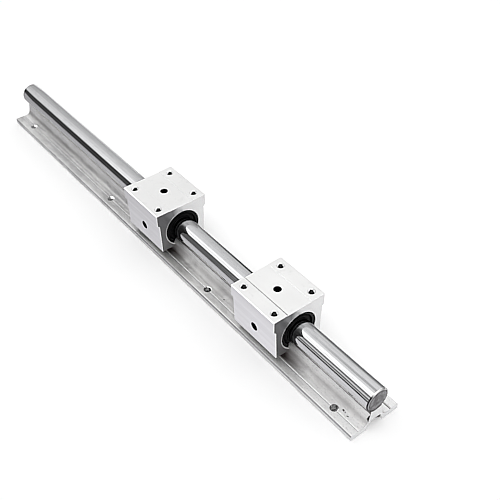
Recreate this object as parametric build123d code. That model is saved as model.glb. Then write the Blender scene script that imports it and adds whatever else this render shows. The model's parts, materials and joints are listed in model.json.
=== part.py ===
from build123d import *
import math
import os

os.makedirs("parts", exist_ok=True)

# Supported round rail: a ground steel shaft screwed down on an extruded
# aluminium support, with two open bearing blocks that slide along it.
#
# Frame: X along the rail, Y across it, Z up. The origin is in the middle of
# the rail's length, on its centre line, on the plane it is bolted to.
# Every length is in millimetres.

# ------------------------------------------------------------------ rail
rail_length = 500.0
shaft_diameter = 20.0
shaft_height = 27.0          # base plane to the shaft's centre line
shaft_end_chamfer = 1.2

base_width = 45.0
flange_thickness = 5.0
flange_edge_chamfer = 0.6
foot_radius = 4.0            # concave corner between the neck and the flange
neck_low_half = 7.0          # half width where the foot radius ends
neck_top_half = 5.3          # half width just under the seat
seat_half = 4.8              # half width of the hollow seat under the shaft
seat_clearance = 0.02
guide_groove_width = 0.9     # V groove that marks the hole line
guide_groove_depth = 0.45

channel_bottom_half = 8.0    # underside channel, open downwards
channel_top_half = 5.4
channel_height = 7.6

hole_pitch = 150.0
hole_columns = 4
hole_row_spacing = 30.0
flange_hole_diameter = 5.5

screw_thread = 6.0
screw_clearance_hole = 6.6
screw_head_diameter = 10.0
screw_head_height = 6.0
screw_length = 16.0
screw_hex = 5.0
shaft_tap_depth = 9.5

# ---------------------------------------------------------------- blocks
block_length = 50.0
block_width = 48.0
block_top_height = 50.0      # base plane to the block's mounting face
block_height = 39.0          # mounting face to the underside
block_upper_depth = 10.3     # full-width part below the mounting face
block_step = 1.8             # the side steps in by this much
block_bottom_half = 21.5
block_edge_chamfer = 0.5
block_end_chamfer = 0.4
top_recess_half = 11.5       # shallow channel along the mounting face
top_recess_depth = 0.35

bore_diameter = 32.0
bore_mouth_chamfer = 0.5
jaw_half = 8.5               # half width of the slot at the jaw tips
jaw_land = 0.7
jaw_bottom_half = 11.0       # the slot flares to this at the underside

tap_spacing_x = 35.0
tap_spacing_y = 35.0
tap_core_diameter = 5.0      # M6 core
tap_depth = 13.0
tap_countersink = 5.8
centre_hole_diameter = 5.5
centre_hole_countersink = 6.4
side_hole_diameter = 6.0
side_hole_countersink = 6.6
side_hole_height = 24.5
set_screw_length = 4.5
set_screw_hex = 3.0

bearing_length = 42.0
sleeve_inner_diameter = 27.0
sleeve_clearance = 0.02
cage_clearance = 0.06        # running clearance to the shaft
opening_angle = 60.0         # of the open bearing, at the underside

seal_thickness = 1.7
seal_lip = 0.8
ring_thickness = 1.2
ring_inner_diameter = 27.6
ring_groove_diameter = 33.6
ring_groove_width = 1.4

rear_block_x = -4.0
front_block_x = 144.0

L2 = rail_length / 2
hole_xs = [(i - (hole_columns - 1) / 2) * hole_pitch for i in range(hole_columns)]


def write(shape, name):
    export_step(shape, f"parts/{name}.step")


def at(shape, x=0.0, y=0.0, z=0.0):
    return Pos(x, y, z) * shape


def x_extrude(face_builder, length, x0):
    """Sketch on the YZ plane (local x = Y, local y = Z), extruded along +X."""
    return at(extrude(face_builder, amount=length), x=x0)


def disc_x(radius, length, x0, z):
    """Cylinder along X from x0, its axis at height z."""
    return Pos(x0 + length / 2, 0, z) * Rot(0, 90, 0) * Cylinder(radius, length)


def cone_x(r0, r1, length, x0, z):
    """Cone along X: radius r0 at x0, r1 at x0 + length."""
    return Pos(x0 + length / 2, 0, z) * Rot(0, 90, 0) * Cone(r0, r1, length)


def drop_wedge(x0, length, angle, reach=40.0):
    """Wedge below the shaft's centre line, cut out of everything that is open
    at the underside. angle is the full angle of the opening."""
    half = math.radians(angle / 2)
    dy = reach * math.tan(half)
    with BuildSketch(Plane.YZ) as s:
        Polygon((0, shaft_height), (-dy, shaft_height - reach), (dy, shaft_height - reach), align=None)
    return x_extrude(s.sketch, length, x0)


# ---------------------------------------------------------------- shaft
def make_shaft():
    shaft = disc_x(shaft_diameter / 2, rail_length, -L2, shaft_height)
    ends = [e for e in shaft.edges() if e.geom_type == GeomType.CIRCLE]
    shaft = chamfer(ends, shaft_end_chamfer)
    for x in hole_xs:
        z0 = shaft_height - shaft_diameter / 2 - 1.0
        drill = Pos(x, 0, z0 + (shaft_tap_depth + 1.0) / 2) * Cylinder(screw_thread / 2, shaft_tap_depth + 1.0)
        shaft -= drill
    return shaft


# -------------------------------------------------------- shaft support
def support_profile():
    t = flange_thickness
    hb = base_width / 2
    gy = hole_row_spacing / 2
    gw = guide_groove_width / 2
    r = shaft_diameter / 2 + seat_clearance
    seat_z = shaft_height - math.sqrt(r * r - seat_half * seat_half)
    seat_bottom = shaft_height - r
    neck_top_z = seat_z - (neck_top_half - seat_half) * 1.2
    # tangent arc from the flange top up to the leaning neck
    foot_y = neck_low_half + foot_radius * 0.95
    lean = math.atan2(neck_low_half - neck_top_half, neck_top_z - (t + foot_radius * 0.8))
    cx, cz = foot_y, t + foot_radius
    end_y = cx - foot_radius * math.cos(lean)
    end_z = cz - foot_radius * math.sin(lean)
    mid_a = (math.pi / 2 + lean) / 2 + math.radians(0)
    mid_y = cx - foot_radius * math.sin(mid_a)
    mid_z = cz - foot_radius * math.cos(mid_a)
    e = flange_edge_chamfer
    with BuildSketch(Plane.YZ) as s:
        with BuildLine():
            right_low = Polyline(
                (channel_bottom_half, 0), (hb - 0.3, 0), (hb, 0.3), (hb, t - e), (hb - e, t),
                (gy + gw, t), (gy, t - guide_groove_depth), (gy - gw, t), (foot_y, t))
            foot = ThreePointArc((foot_y, t), (mid_y, mid_z), (end_y, end_z))
            neck = Polyline((end_y, end_z), (neck_top_half, neck_top_z), (seat_half, seat_z))
            seat = ThreePointArc((seat_half, seat_z), (0, seat_bottom), (-seat_half, seat_z))
            neck2 = Polyline((-seat_half, seat_z), (-neck_top_half, neck_top_z), (-end_y, end_z))
            foot2 = ThreePointArc((-end_y, end_z), (-mid_y, mid_z), (-foot_y, t))
            left_low = Polyline(
                (-foot_y, t), (-gy + gw, t), (-gy, t - guide_groove_depth), (-gy - gw, t),
                (-hb + e, t), (-hb, t - e), (-hb, 0.3), (-hb + 0.3, 0), (-channel_bottom_half, 0))
            channel = Polyline(
                (-channel_bottom_half, 0), (-channel_top_half, channel_height - 0.8),
                (-channel_top_half + 0.3, channel_height), (channel_top_half - 0.3, channel_height),
                (channel_top_half, channel_height - 0.8), (channel_bottom_half, 0))
        make_face()
    return s.sketch


def make_support():
    support = x_extrude(support_profile(), rail_length, -L2)
    for x in hole_xs:
        for side in (-1, 1):
            support -= Pos(x, side * hole_row_spacing / 2, flange_thickness / 2) * Cylinder(
                flange_hole_diameter / 2, flange_thickness + 2)
        support -= Pos(x, 0, 13) * Cylinder(screw_clearance_hole / 2, 14)
    return support


def make_shaft_screw(x):
    """Socket head screw from below: head in the channel, thread in the shaft."""
    head_z0 = channel_height - screw_head_height
    head = Pos(x, 0, head_z0 + screw_head_height / 2) * Cylinder(screw_head_diameter / 2, screw_head_height)
    low = [e for e in head.edges() if e.geom_type == GeomType.CIRCLE and e.center().Z < head_z0 + 0.1]
    head = chamfer(low, 0.5)
    shank = Pos(x, 0, channel_height + screw_length / 2 - 0.01) * Cylinder(
        screw_thread / 2 - 0.03, screw_length + 0.02)
    tip = [e for e in shank.edges() if e.geom_type == GeomType.CIRCLE and e.center().Z > channel_height + 5]
    shank = chamfer(tip, 0.6)
    with BuildSketch(Plane.XY) as s:
        RegularPolygon(radius=screw_hex / 2, side_count=6, major_radius=False)
    socket = Pos(x, 0, head_z0 - 0.5) * extrude(s.sketch, amount=3.5)
    return head + shank - socket


# ---------------------------------------------------------- block parts
def housing_profile():
    w = block_width / 2
    top = block_top_height
    bottom = top - block_height
    c = block_edge_chamfer
    r = bore_diameter / 2
    tip_z = shaft_height - math.sqrt(r * r - jaw_half * jaw_half)
    step_z = top - block_upper_depth
    pts = [
        (top_recess_half, top), (w - c, top), (w, top - c), (w, step_z),
        (w - block_step, step_z - block_step), (block_bottom_half, bottom + 0.4),
        (block_bottom_half - 0.4, bottom), (jaw_bottom_half, bottom),
        (jaw_half, tip_z - jaw_land), (jaw_half, tip_z + 1.0)]
    left = [(-y, z) for y, z in reversed(pts)]
    d = top_recess_depth
    recess = [(-top_recess_half + d, top - d), (top_recess_half - d, top - d)]
    with BuildSketch(Plane.YZ) as s:
        with BuildLine():
            Polyline(*pts, *left, *recess, close=True)
        make_face()
        with Locations((0, shaft_height)):
            Circle(r, mode=Mode.SUBTRACT)
    return s.sketch


def make_housing(xc):
    half = block_length / 2
    top = block_top_height
    r = bore_diameter / 2
    body = x_extrude(housing_profile(), block_length, xc - half)
    # break the outer edges of both end faces
    outer = []
    for e in body.edges():
        c = e.center()
        if abs(abs(c.X - xc) - half) > 1e-3:
            continue
        if e.geom_type != GeomType.LINE:
            continue
        near_bore = math.hypot(c.Y, c.Z - shaft_height) < r + 1.2
        if not near_bore:
            outer.append(e)
    body = chamfer(outer, block_end_chamfer)
    # bore mouths and the two grooves for the retaining rings
    for side in (-1, 1):
        xe = xc + side * half
        if side > 0:
            body -= cone_x(r, r + bore_mouth_chamfer + 0.05, bore_mouth_chamfer + 0.05, xe - bore_mouth_chamfer, shaft_height)
        else:
            body -= cone_x(r + bore_mouth_chamfer + 0.05, r, bore_mouth_chamfer + 0.05, xe - 0.05, shaft_height)
        g0 = bearing_length / 2 + seal_thickness + 0.1
        x0 = xc + g0 if side > 0 else xc - g0 - ring_groove_width
        body -= disc_x(ring_groove_diameter / 2, ring_groove_width, x0, shaft_height)
    # four tapped holes in the mounting face
    for sx in (-1, 1):
        for sy in (-1, 1):
            x = xc + sx * tap_spacing_x / 2
            y = sy * tap_spacing_y / 2
            body -= Pos(x, y, top - tap_depth / 2 + 0.5) * Cylinder(tap_core_diameter / 2, tap_depth + 1)
            point = tap_core_diameter / 2 / math.tan(math.radians(59))
            body -= Pos(x, y, top - tap_depth - point / 2) * Cone(0.0, tap_core_diameter / 2, point)
            sink = (tap_countersink - tap_core_diameter) / 2
            body -= Pos(x, y, top - sink / 2 + 0.05) * Cone(
                tap_core_diameter / 2, tap_countersink / 2 + 0.1, sink + 0.1)
    # lubrication hole down to the bearing
    floor = top - top_recess_depth
    body -= Pos(xc, 0, (floor + shaft_height + 10) / 2 + 0.5) * Cylinder(
        centre_hole_diameter / 2, floor - shaft_height - 10 + 1)
    sink = (centre_hole_countersink - centre_hole_diameter) / 2
    body -= Pos(xc, 0, floor - sink / 2 + 0.05) * Cone(
        centre_hole_diameter / 2, centre_hole_countersink / 2 + 0.1, sink + 0.1)
    # set screw hole in the side that faces -Y
    wall_y = -(block_width / 2 - block_step - 0.6)
    body -= Pos(xc, -18, side_hole_height) * Rot(90, 0, 0) * Cylinder(side_hole_diameter / 2, 14)
    sink = (side_hole_countersink - side_hole_diameter) / 2
    body -= Pos(xc, wall_y + 0.1, side_hole_height) * Rot(90, 0, 0) * Cone(
        side_hole_diameter / 2, side_hole_countersink / 2 + 0.2, sink + 0.3)
    return body


def make_sleeve(xc):
    x0 = xc - bearing_length / 2
    sleeve = disc_x(bore_diameter / 2 - sleeve_clearance, bearing_length, x0, shaft_height)
    ends = [e for e in sleeve.edges() if e.geom_type == GeomType.CIRCLE]
    sleeve = chamfer(ends, 0.5)
    sleeve -= disc_x(sleeve_inner_diameter / 2, bearing_length + 2, x0 - 1, shaft_height)
    sleeve -= drop_wedge(x0 - 1, bearing_length + 2, opening_angle)
    return sleeve


def make_cage(xc):
    x0 = xc - bearing_length / 2 + 0.3
    length = bearing_length - 0.6
    cage = disc_x(sleeve_inner_diameter / 2 - sleeve_clearance, length, x0, shaft_height)
    cage -= disc_x(shaft_diameter / 2 + cage_clearance, length + 2, x0 - 1, shaft_height)
    cage -= drop_wedge(x0 - 1, length + 2, opening_angle + 1)
    return cage


def make_seal(xc, side):
    """Flat rubber ring with a wiper lip that leans out along the shaft."""
    ro = bore_diameter / 2 - 0.05
    ri = shaft_diameter / 2 + cage_clearance
    x_in = bearing_length / 2 + 0.03
    x_out = x_in + seal_thickness - 0.03
    lip_r = ri + 2.2
    x_lip = x_out + seal_lip
    # half section in (x, r), revolved about the shaft's centre line
    pts = [(x_in, ri), (x_in, ro), (x_out - 0.4, ro), (x_out, ro - 0.4), (x_out, lip_r + 0.6),
           (x_lip - 0.25, lip_r - 0.5), (x_lip, ri + 0.9), (x_lip, ri + 0.25), (x_lip - 0.3, ri)]
    pts = [(xc + side * x, shaft_height + r_) for x, r_ in pts]
    with BuildSketch(Plane.XZ) as s:
        Polygon(*pts, align=None)
    seal = revolve(s.sketch, axis=Axis((0, 0, shaft_height), (1, 0, 0)), revolution_arc=360)
    seal -= drop_wedge(xc + side * (x_in + 1.5) - 3, 6, opening_angle + 4)
    return seal


def make_ring(xc, side):
    """Internal retaining ring, open at the underside, sprung into its groove."""
    g0 = bearing_length / 2 + seal_thickness + 0.2
    x0 = xc + g0 if side > 0 else xc - g0 - ring_thickness
    ring = disc_x(ring_groove_diameter / 2 - 0.1, ring_thickness, x0, shaft_height)
    ring -= disc_x(ring_inner_diameter / 2, ring_thickness + 2, x0 - 1, shaft_height)
    ring -= drop_wedge(x0 - 1, ring_thickness + 2, opening_angle + 12)
    return ring


def make_set_screw(xc):
    """Hexagon socket set screw, sunk just below the side of the block."""
    y_out = -(block_width / 2 - block_step - 1.4)
    body = Pos(xc, y_out + set_screw_length / 2, side_hole_height) * Rot(90, 0, 0) * Cylinder(
        side_hole_diameter / 2 - 0.03, set_screw_length)
    ends = [e for e in body.edges() if e.geom_type == GeomType.CIRCLE]
    body = chamfer(ends, 0.4)
    with BuildSketch(Plane.XZ) as s:
        RegularPolygon(radius=set_screw_hex / 2, side_count=6, major_radius=False)
    socket = extrude(s.sketch, amount=2.6, both=True)
    socket = Pos(xc, y_out, side_hole_height) * socket
    return body - socket


# --------------------------------------------------------------- output
write(make_shaft(), "shaft")
write(make_support(), "shaft_support")
for i, hx in enumerate(hole_xs, 1):
    write(make_shaft_screw(hx), f"shaft_screw_{i}")

for name, xc in (("rear", rear_block_x), ("front", front_block_x)):
    write(make_housing(xc), f"{name}_block_housing")
    write(make_sleeve(xc), f"{name}_bearing_sleeve")
    write(make_cage(xc), f"{name}_ball_cage")
    write(make_seal(xc, -1), f"{name}_seal_a")
    write(make_seal(xc, 1), f"{name}_seal_b")
    write(make_ring(xc, -1), f"{name}_retaining_ring_a")
    write(make_ring(xc, 1), f"{name}_retaining_ring_b")
    write(make_set_screw(xc), f"{name}_set_screw")
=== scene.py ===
import bpy
import bmesh
import json
import math
import random
from mathutils import Matrix, Vector


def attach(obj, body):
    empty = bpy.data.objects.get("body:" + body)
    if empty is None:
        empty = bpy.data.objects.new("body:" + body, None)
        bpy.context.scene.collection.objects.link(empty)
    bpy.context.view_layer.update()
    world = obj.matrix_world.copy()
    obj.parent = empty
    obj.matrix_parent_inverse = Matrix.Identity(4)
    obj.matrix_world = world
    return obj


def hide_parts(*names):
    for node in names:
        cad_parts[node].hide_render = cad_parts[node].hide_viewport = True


# Looks of the supported round rail. Every length is in metres, in the frame
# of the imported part: X along the rail, Z up, the base plane at z = 0.

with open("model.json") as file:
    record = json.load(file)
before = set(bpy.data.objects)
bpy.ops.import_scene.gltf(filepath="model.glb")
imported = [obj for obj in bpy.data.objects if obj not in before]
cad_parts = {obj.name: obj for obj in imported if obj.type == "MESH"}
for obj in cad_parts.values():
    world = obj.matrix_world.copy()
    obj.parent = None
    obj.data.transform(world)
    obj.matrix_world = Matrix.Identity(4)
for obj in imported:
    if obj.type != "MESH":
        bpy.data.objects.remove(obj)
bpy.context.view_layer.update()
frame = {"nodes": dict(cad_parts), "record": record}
nodes = frame["nodes"]
scene = bpy.context.scene

MM = 0.001
AXIS_Z = 27 * MM                 # height of the shaft's centre line
HOLE_X = [-225 * MM, -75 * MM, 75 * MM, 225 * MM]
REAR_X, FRONT_X = -4 * MM, 144 * MM


# ------------------------------------------------------------ node helpers
def put(nt, socket, value):
    if isinstance(value, bpy.types.NodeSocket):
        nt.links.new(value, socket)
    elif value is not None:
        socket.default_value = value


def N(nt, kind, *values, out=0, named=None, **props):
    n = nt.nodes.new("ShaderNode" + kind)
    for k, v in props.items():
        setattr(n, k, v)
    for i, v in enumerate(values):
        put(nt, n.inputs[i], v)
    for k, v in (named or {}).items():
        put(nt, n.inputs[k], v)
    return n.outputs[out]


def M(nt, op, a, b=None, c=None, clamp=False):
    return N(nt, "Math", a, b, c, operation=op, use_clamp=clamp)


def mapped(nt, value, lo, hi, to_lo, to_hi):
    return N(nt, "MapRange", value, lo, hi, to_lo, to_hi, clamp=True)


def noise(nt, vec, scale, detail=4.0, rough=0.55, distortion=0.0):
    """Noise of the vector scaled along each axis."""
    v = N(nt, "Mapping", vec, named={"Scale": scale})
    return N(nt, "TexNoise", named={"Vector": v, "Scale": 1.0, "Detail": detail, "Roughness": rough,
                                    "Distortion": distortion})


def mix_rgb(nt, fac, a, b, blend="MIX"):
    n = nt.nodes.new("ShaderNodeMix")
    n.data_type = "RGBA"
    n.blend_type = blend
    put(nt, n.inputs[0], fac)
    put(nt, n.inputs[6], a)
    put(nt, n.inputs[7], b)
    return n.outputs[2]


def ramp(nt, fac, stops, interpolation="LINEAR"):
    n = nt.nodes.new("ShaderNodeValToRGB")
    cr = n.color_ramp
    cr.interpolation = interpolation
    while len(cr.elements) > 1:
        cr.elements.remove(cr.elements[-1])
    for i, (pos, col) in enumerate(stops):
        e = cr.elements[0] if i == 0 else cr.elements.new(pos)
        e.position = pos
        e.color = (col, col, col, 1) if isinstance(col, (int, float)) else (*col, 1)
    put(nt, n.inputs[0], fac)
    return n.outputs[0]


def new_material(name):
    m = bpy.data.materials.new(name)
    m.use_nodes = True
    nt = m.node_tree
    nt.nodes.clear()
    out = nt.nodes.new("ShaderNodeOutputMaterial")
    bsdf = nt.nodes.new("ShaderNodeBsdfPrincipled")
    nt.links.new(bsdf.outputs[0], out.inputs[0])
    return m, nt, bsdf


def obj_coord(nt):
    n = nt.nodes.new("ShaderNodeTexCoord")
    return n.outputs["Object"]


def split(nt, vec):
    n = nt.nodes.new("ShaderNodeSeparateXYZ")
    put(nt, n.inputs[0], vec)
    return n.outputs[0], n.outputs[1], n.outputs[2]


def painted_shade_in_mirror(nt, col, amount):
    """Painted shade seen only by glossy rays: the colour, darker where the
    polished shaft mirrors the surface."""
    path = nt.nodes.new("ShaderNodeLightPath")
    return mix_rgb(nt, M(nt, "MULTIPLY", path.outputs["Is Glossy Ray"], amount), col, (0.012, 0.012, 0.012, 1))


def bump(nt, height, strength, distance, normal=None):
    return N(nt, "Bump", named={"Strength": strength, "Distance": distance, "Height": height, "Normal": normal})


# -------------------------------------------------------------- materials
def shaft_material():
    """Ground and hard chromed steel: mirror bright, fine grinding marks round
    it, faint polished tracks along it where the balls have run."""
    m, nt, b = new_material("ground_chrome")
    co = obj_coord(nt)
    x, y, z = split(nt, co)
    dz = M(nt, "SUBTRACT", z, AXIS_Z)
    phi = M(nt, "ARCTAN2", y, dz)
    # fine lines along the shaft: noise over the angle, slowly changing with x
    tracks = N(nt, "CombineXYZ", M(nt, "MULTIPLY", x, 1.6), M(nt, "MULTIPLY", phi, 26.0), 0.0)
    lines = N(nt, "TexNoise", named={"Vector": tracks, "Scale": 1.0, "Detail": 5.0, "Roughness": 0.62})
    broad = N(nt, "CombineXYZ", M(nt, "MULTIPLY", x, 5.0), M(nt, "MULTIPLY", phi, 5.0), 3.0)
    patches = N(nt, "TexNoise", named={"Vector": broad, "Scale": 1.0, "Detail": 2.0, "Roughness": 0.5})
    rings = N(nt, "CombineXYZ", M(nt, "MULTIPLY", x, 900.0), M(nt, "MULTIPLY", phi, 1.2), 0.0)
    ground = N(nt, "TexNoise", named={"Vector": rings, "Scale": 1.0, "Detail": 3.0, "Roughness": 0.6})
    smudge = noise(nt, co, (14, 60, 60), 3.0, 0.5)
    mottle = noise(nt, co, (90, 240, 240), 4.0, 0.6, 0.5)
    tone = mapped(nt, lines, 0.32, 0.70, 0.0, 1.0)
    col = mix_rgb(nt, tone, (0.53, 0.53, 0.545, 1), (0.72, 0.725, 0.73, 1))
    col = mix_rgb(nt, mapped(nt, patches, 0.40, 0.66, 0.0, 0.45), col, (0.55, 0.555, 0.565, 1))
    col = mix_rgb(nt, mapped(nt, smudge, 0.35, 0.7, 0.0, 0.25), col, (0.54, 0.54, 0.555, 1))
    col = mix_rgb(nt, mapped(nt, mottle, 0.48, 0.70, 0.0, 0.40), col, (0.50, 0.50, 0.51, 1))
    put(nt, b.inputs["Base Color"], col)
    b.inputs["Metallic"].default_value = 1.0
    rough = M(nt, "ADD", mapped(nt, ground, 0.3, 0.7, 0.03, 0.06), mapped(nt, lines, 0.4, 0.7, 0.0, 0.03))
    put(nt, b.inputs["Roughness"], rough)
    b.inputs["Anisotropic"].default_value = 0.5
    put(nt, b.inputs["Tangent"], N(nt, "CombineXYZ", 1.0, 0.0, 0.0))
    put(nt, b.inputs["Normal"], bump(nt, ground, 0.04, 0.00002))
    return m


def turned_end_material():
    """Turned end of the shaft: concentric tool marks, dark and fairly matt,
    with painted highlights inside the chamfer and a painted shadow on its rim."""
    m, nt, b = new_material("turned_steel_end")
    co = obj_coord(nt)
    x, y, z = split(nt, co)
    dz = M(nt, "SUBTRACT", z, AXIS_Z)
    r = M(nt, "SQRT", M(nt, "ADD", M(nt, "MULTIPLY", y, y), M(nt, "MULTIPLY", dz, dz)))
    rr = N(nt, "CombineXYZ", M(nt, "MULTIPLY", r, 1500.0), 0.0, 0.0)
    rings = N(nt, "TexNoise", named={"Vector": rr, "Scale": 1.0, "Detail": 4.0, "Roughness": 0.6})
    wide = N(nt, "CombineXYZ", M(nt, "MULTIPLY", r, 420.0), 7.0, 0.0)
    bands = N(nt, "TexNoise", named={"Vector": wide, "Scale": 1.0, "Detail": 2.0, "Roughness": 0.5})
    blot = noise(nt, co, (260, 260, 260), 4.0, 0.65)
    spots = noise(nt, co, (700, 700, 700), 3.0, 0.6)
    phi = M(nt, "ARCTAN2", y, dz)                    # 0 on top, + towards +Y
    col = mix_rgb(nt, mapped(nt, rings, 0.3, 0.7, 0.0, 1.0), (0.125, 0.12, 0.128, 1), (0.235, 0.23, 0.24, 1))
    col = mix_rgb(nt, mapped(nt, bands, 0.42, 0.60, 0.0, 0.7), col, (0.30, 0.295, 0.305, 1))
    col = mix_rgb(nt, mapped(nt, blot, 0.44, 0.66, 0.0, 0.7), col, (0.10, 0.096, 0.10, 1))
    col = mix_rgb(nt, mapped(nt, spots, 0.58, 0.72, 0.0, 0.45), col, (0.34, 0.335, 0.345, 1))
    # painted highlight: a bright line just inside the chamfer on the -Y side
    line = M(nt, "MULTIPLY", mapped(nt, r, 8.5 * MM, 8.65 * MM, 0.0, 1.0), mapped(nt, r, 9.05 * MM, 9.12 * MM, 1.0, 0.0))
    left = M(nt, "MULTIPLY", mapped(nt, phi, -2.2, -1.7, 0.0, 1.0), mapped(nt, phi, -0.5, 0.0, 1.0, 0.0))
    col = mix_rgb(nt, M(nt, "MULTIPLY", M(nt, "MULTIPLY", line, left), 0.8), col, (0.42, 0.42, 0.43, 1))
    # painted shade: a thin dark line further in on the -Y side
    thin = M(nt, "MULTIPLY", mapped(nt, r, 7.3 * MM, 7.6 * MM, 0.0, 1.0), mapped(nt, r, 8.1 * MM, 8.3 * MM, 1.0, 0.0))
    col = mix_rgb(nt, M(nt, "MULTIPLY", M(nt, "MULTIPLY", thin, left), 0.5), col, (0.07, 0.066, 0.07, 1))
    # painted highlight: a pale arc on the +Y side
    right = M(nt, "MULTIPLY", mapped(nt, phi, 0.7, 1.0, 0.0, 1.0), mapped(nt, phi, 2.0, 2.3, 1.0, 0.0))
    pale = M(nt, "MULTIPLY", mapped(nt, r, 6.9 * MM, 7.3 * MM, 0.0, 1.0), mapped(nt, r, 8.2 * MM, 8.5 * MM, 1.0, 0.0))
    col = mix_rgb(nt, M(nt, "MULTIPLY", M(nt, "MULTIPLY", pale, right), 0.6), col, (0.36, 0.36, 0.37, 1))
    # painted shadow: a dark rim round the bottom and the +Y side
    low = M(nt, "ADD", mapped(nt, phi, -1.9, -2.3, 0.0, 1.0), mapped(nt, phi, 0.9, 1.2, 0.0, 1.0), clamp=True)
    rim = M(nt, "MULTIPLY", mapped(nt, r, 8.2 * MM, 8.6 * MM, 0.0, 1.0), low)
    col = mix_rgb(nt, M(nt, "MULTIPLY", rim, 0.7), col, (0.055, 0.052, 0.055, 1))
    put(nt, b.inputs["Base Color"], col)
    b.inputs["Metallic"].default_value = 1.0
    put(nt, b.inputs["Roughness"], mapped(nt, blot, 0.3, 0.7, 0.40, 0.55))
    put(nt, b.inputs["Normal"], bump(nt, rings, 0.35, 0.00003))
    return m


def extrusion_material():
    """Extruded aluminium: die lines along the length, soft grey patches, and painted
    light and shade: painted shade in the crevice below the shaft, at the neck's foot,
    by the grooves, on the flange sides and in front of the blocks; painted highlights
    in the near V groove and on the flange's top edges."""
    m, nt, b = new_material("extruded_aluminium")
    co = obj_coord(nt)
    x, y, z = split(nt, co)
    die = noise(nt, co, (1.2, 620, 620), 4.0, 0.6)
    band = noise(nt, co, (0.9, 210, 210), 3.0, 0.6)
    hair = noise(nt, co, (2.5, 1300, 1300), 2.0, 0.5)
    fine = noise(nt, co, (6.0, 2600, 2600), 3.0, 0.6)
    patch = noise(nt, co, (20, 90, 70), 3.0, 0.6, 0.8)
    cloud = noise(nt, co, (6, 26, 18), 2.0, 0.5)
    stain = noise(nt, co, (60, 260, 200), 4.0, 0.65, 1.2)
    mottle = noise(nt, co, (130, 260, 260), 4.0, 0.65, 0.6)
    haze = noise(nt, co, (44, 90, 64), 3.0, 0.6, 0.4)
    specks = noise(nt, co, (460, 620, 620), 3.0, 0.7)
    ay = M(nt, "ABSOLUTE", y)
    col = mix_rgb(nt, mapped(nt, die, 0.36, 0.66, 0.0, 1.0), (0.62, 0.615, 0.625, 1), (0.94, 0.94, 0.945, 1))
    col = mix_rgb(nt, mapped(nt, band, 0.46, 0.66, 0.0, 0.55), col, (0.56, 0.555, 0.56, 1))
    col = mix_rgb(nt, mapped(nt, hair, 0.58, 0.70, 0.0, 0.45), col, (0.44, 0.435, 0.44, 1))
    col = mix_rgb(nt, mapped(nt, patch, 0.46, 0.72, 0.0, 0.45), col, (0.56, 0.555, 0.54, 1))
    col = mix_rgb(nt, mapped(nt, cloud, 0.46, 0.7, 0.0, 0.35), col, (0.72, 0.705, 0.66, 1))
    col = mix_rgb(nt, mapped(nt, mottle, 0.46, 0.72, 0.0, 0.42), col, (0.46, 0.455, 0.45, 1))
    col = mix_rgb(nt, mapped(nt, haze, 0.47, 0.63, 0.0, 0.48), col, (0.99, 0.985, 0.97, 1))
    col = mix_rgb(nt, mapped(nt, haze, 0.50, 0.36, 0.0, 0.26), col, (0.48, 0.475, 0.465, 1))
    # painted light: the upper neck lighter; painted shade: the hollow at its foot darker, more so towards the far end
    neck = mapped(nt, z, 8.5 * MM, 10.5 * MM, 0.0, 0.42)
    col = mix_rgb(nt, neck, col, (0.97, 0.965, 0.965, 1))
    foot = M(nt, "MULTIPLY", mapped(nt, z, 5.02 * MM, 5.3 * MM, 0.0, 1.0), mapped(nt, z, 7.6 * MM, 10.0 * MM, 1.0, 0.0))
    painted_shade_tone = M(nt, "MULTIPLY", foot, mapped(nt, x, -0.16, -0.04, 0.42, 0.0))
    col = mix_rgb(nt, painted_shade_tone, col, (0.45, 0.445, 0.44, 1))
    # painted light: lighter towards the near end
    painted_light = mapped(nt, x, 0.02, 0.22, 0.0, 0.35)
    col = mix_rgb(nt, painted_light, col, (0.95, 0.945, 0.95, 1))
    # painted shade: the foot darker again from x = 40 mm on
    col = mix_rgb(nt, M(nt, "MULTIPLY", foot, mapped(nt, x, 0.04, 0.065, 0.0, 0.22)), col, (0.36, 0.35, 0.35, 1))
    # painted light: the flange paler at the near end
    painted_near_light = M(nt, "MULTIPLY", mapped(nt, z, 5.0 * MM, 5.2 * MM, 1.0, 0.0), mapped(nt, x, 0.195, 0.235, 0.0, 0.6))
    col = mix_rgb(nt, painted_near_light, col, (1.0, 1.0, 1.0, 1))
    col = mix_rgb(nt, M(nt, "MULTIPLY", mapped(nt, specks, 0.54, 0.68, 0.0, 0.38), mapped(nt, x, 0.02, 0.20, 0.4, 1.0)),
                  col, (0.50, 0.495, 0.495, 1))
    col = mix_rgb(nt, mapped(nt, stain, 0.64, 0.80, 0.0, 0.35), col, (0.42, 0.415, 0.40, 1))
    # painted shade in the crevice where the seat meets the shaft; painted highlight in the bottom of the V grooves,
    # weaker towards the far end
    seat = mapped(nt, M(nt, "ADD", z, mapped(nt, mottle, 0.3, 0.7, -0.3 * MM, 0.3 * MM)), 15.7 * MM, 16.2 * MM, 0.0, 0.9)
    seat = M(nt, "MAXIMUM", M(nt, "MULTIPLY", seat, mapped(nt, x, -0.20, 0.04, 0.05, 1.0)),
             mapped(nt, z, 16.9 * MM, 17.2 * MM, 0.0, 0.9))
    col = mix_rgb(nt, seat, col, (0.11, 0.105, 0.105, 1))
    groove = M(nt, "MULTIPLY", mapped(nt, M(nt, "ABSOLUTE", M(nt, "SUBTRACT", ay, 15 * MM)), 0.3 * MM, 0.5 * MM, 1.0, 0.0),
               mapped(nt, z, 4.7 * MM, 4.98 * MM, 1.0, 0.0))
    near = mapped(nt, x, -0.17, 0.0, 0.25, 1.0)
    col = mix_rgb(nt, M(nt, "MULTIPLY", groove, near), col, (0.97, 0.97, 0.97, 1))
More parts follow.
